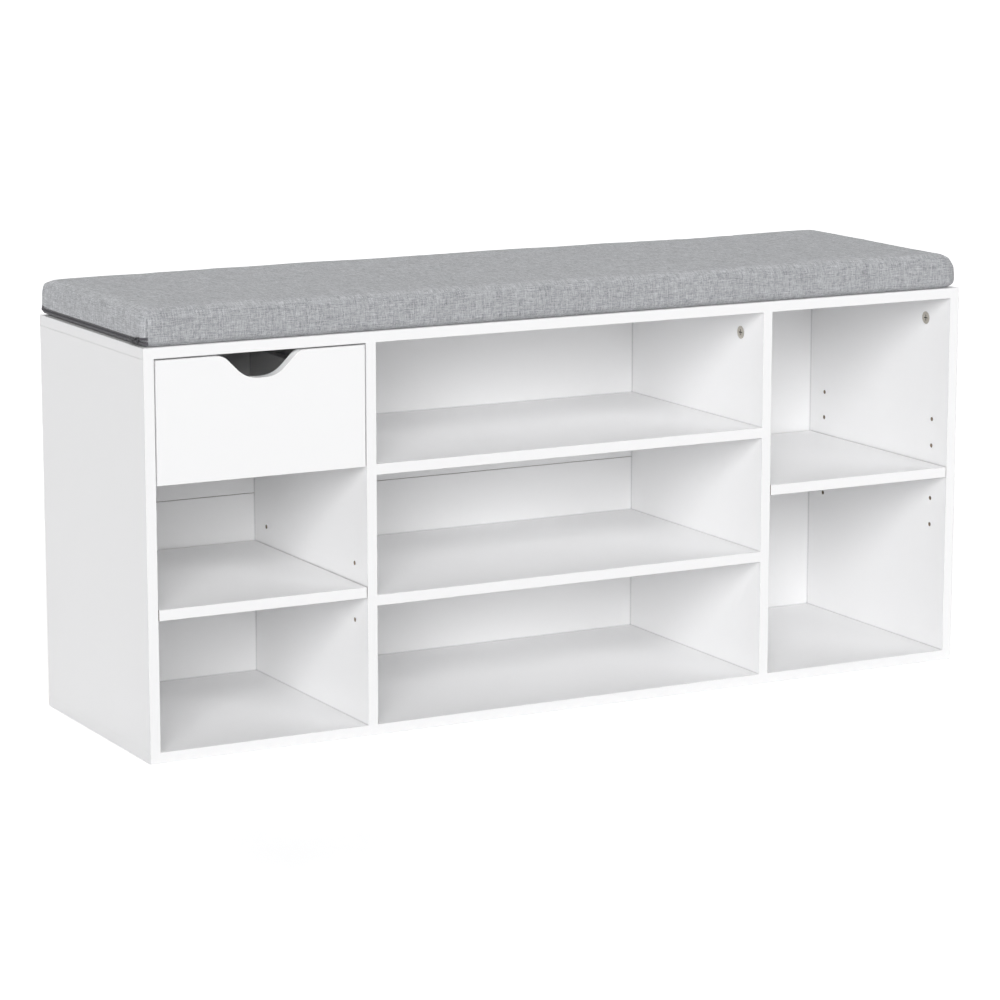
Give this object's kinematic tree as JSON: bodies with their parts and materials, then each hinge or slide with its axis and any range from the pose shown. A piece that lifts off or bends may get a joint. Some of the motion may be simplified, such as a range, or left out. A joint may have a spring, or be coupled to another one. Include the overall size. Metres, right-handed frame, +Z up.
{
  "type": "entryway bench",
  "caption": "Free-standing entryway bench with open shoe bays, a drawer with a finger scoop, loose shelves on pins and a lift-off boxed cushion.",
  "frame": {"origin": "middle of the base, on the floor", "axes": "+X along the bench to the right as seen from the front, +Y to the back, +Z up"},
  "size_m": [1.047, 0.302, 0.49],
  "materials": {
    "white_board": "satin white melamine on chipboard",
    "white_edge_band": "smooth white band",
    "white_hardboard": "white printed hardboard",
    "zinc_casting": "cast zinc",
    "plated_steel": "zinc plated",
    "beech": "fluted beech",
    "white_painted_steel": "white powder coat",
    "roller_plastic": "natural nylon",
    "grey_linen": "plain weave with light and dark yarns",
    "foam": "open-cell foam",
    "zip_tape": "woven tape",
    "zip_plastic": "nylon coil",
    "dark_painted_metal": "dark enamel"
  },
  "bodies": {
    "cabinet": {"bottom_panel": "white_board", "top_panel": "white_board", "left_side_panel": "white_board", "right_side_panel": "white_board", "left_divider": "white_board", "right_divider": "white_board", "middle_shelf_lower": "white_board", "middle_shelf_upper": "white_board", "edge_bands": "white_edge_band", "back_panel_lower": "white_hardboard", "back_panel_upper": "white_hardboard", "back_fold_tape": "white_edge_band", "back_nails": "plated_steel", "top_cam_bolts": "plated_steel", "top_cam_locks": "zinc_casting", "shelf_cam_bolts": "plated_steel", "shelf_cam_locks": "zinc_casting", "top_dowels": "beech", "shelf_dowels": "beech", "bottom_dowels": "beech", "base_screws": "plated_steel", "left_shelf_pins": "plated_steel", "right_shelf_pins": "plated_steel", "cabinet_rail_left": "white_painted_steel", "cabinet_rail_right": "white_painted_steel", "cabinet_rail_screws": "plated_steel", "cabinet_roller_rivets": "plated_steel"},
    "drawer": {"drawer_front": "white_board", "drawer_side_left": "white_board", "drawer_side_right": "white_board", "drawer_back": "white_board", "drawer_bottom": "white_hardboard", "drawer_cam_bolts": "plated_steel", "drawer_cam_locks": "zinc_casting", "drawer_dowels": "beech", "drawer_back_screws": "plated_steel", "drawer_rail_left": "white_painted_steel", "drawer_rail_right": "white_painted_steel", "drawer_rail_screws": "plated_steel", "drawer_roller_rivets": "plated_steel"},
    "left_shelf": {"left_shelf": "white_board", "left_shelf_band": "white_edge_band"},
    "right_shelf": {"right_shelf": "white_board", "right_shelf_band": "white_edge_band"},
    "front_roller_left": {"front_roller_left": "roller_plastic"},
    "front_roller_right": {"front_roller_right": "roller_plastic"},
    "rear_roller_left": {"rear_roller_left": "roller_plastic"},
    "rear_roller_right": {"rear_roller_right": "roller_plastic"},
    "cushion": {"cushion_cover": "grey_linen", "cushion_foam": "foam", "zip_tapes": "zip_tape", "zip_teeth": "zip_plastic"},
    "zip_slider": {"zip_slider": "dark_painted_metal"},
    "zip_pull": {"zip_pull": "dark_painted_metal"}
  },
  "joints": [
    {"name": "drawer_slide", "type": "slide", "parent": "cabinet", "child": "drawer", "axis": [0, -1, 0], "range_m": [0, 0.18]},
    {"name": "front_roller_left_spin", "type": "hinge", "parent": "cabinet", "child": "front_roller_left", "pos_m": [-0.5027, -0.125, 0.32175], "axis": [1, 0, 0], "range_deg": [0, 1231]},
    {"name": "rear_roller_left_spin", "type": "hinge", "parent": "drawer", "child": "rear_roller_left", "pos_m": [-0.50155, 0.102, 0.32175], "axis": [1, 0, 0], "range_deg": [0, 1231]},
    {"name": "front_roller_right_spin", "type": "hinge", "parent": "cabinet", "child": "front_roller_right", "pos_m": [-0.2653, -0.125, 0.32175], "axis": [1, 0, 0], "range_deg": [0, 1231]},
    {"name": "rear_roller_right_spin", "type": "hinge", "parent": "drawer", "child": "rear_roller_right", "pos_m": [-0.26645, 0.102, 0.32175], "axis": [1, 0, 0], "range_deg": [0, 1231]},
    {"name": "left_shelf_slide", "type": "slide", "parent": "cabinet", "child": "left_shelf", "axis": [0, -1, 0], "range_m": [0, 0.29]},
    {"name": "right_shelf_slide", "type": "slide", "parent": "cabinet", "child": "right_shelf", "axis": [0, -1, 0], "range_m": [0, 0.29]},
    {"name": "cushion_lift", "type": "slide", "parent": "cabinet", "child": "cushion", "axis": [0, 0, 1], "range_m": [0, 0.3]},
    {"name": "zip_slide", "type": "slide", "parent": "cushion", "child": "zip_slider", "axis": [0, 1, 0], "range_m": [0, 0.27]},
    {"name": "zip_pull_swing", "type": "hinge", "parent": "zip_slider", "child": "zip_pull", "pos_m": [-0.5248, -0.137, 0.457], "axis": [0, 0, 1], "range_deg": [0, 170]}
  ],
  "couplings": [
    {"joint": "front_roller_left_spin", "follows": "drawer_slide", "rad_per_m": 119.05},
    {"joint": "rear_roller_left_spin", "follows": "drawer_slide", "rad_per_m": 119.05},
    {"joint": "front_roller_right_spin", "follows": "drawer_slide", "rad_per_m": 119.05},
    {"joint": "rear_roller_right_spin", "follows": "drawer_slide", "rad_per_m": 119.05}
  ]
}
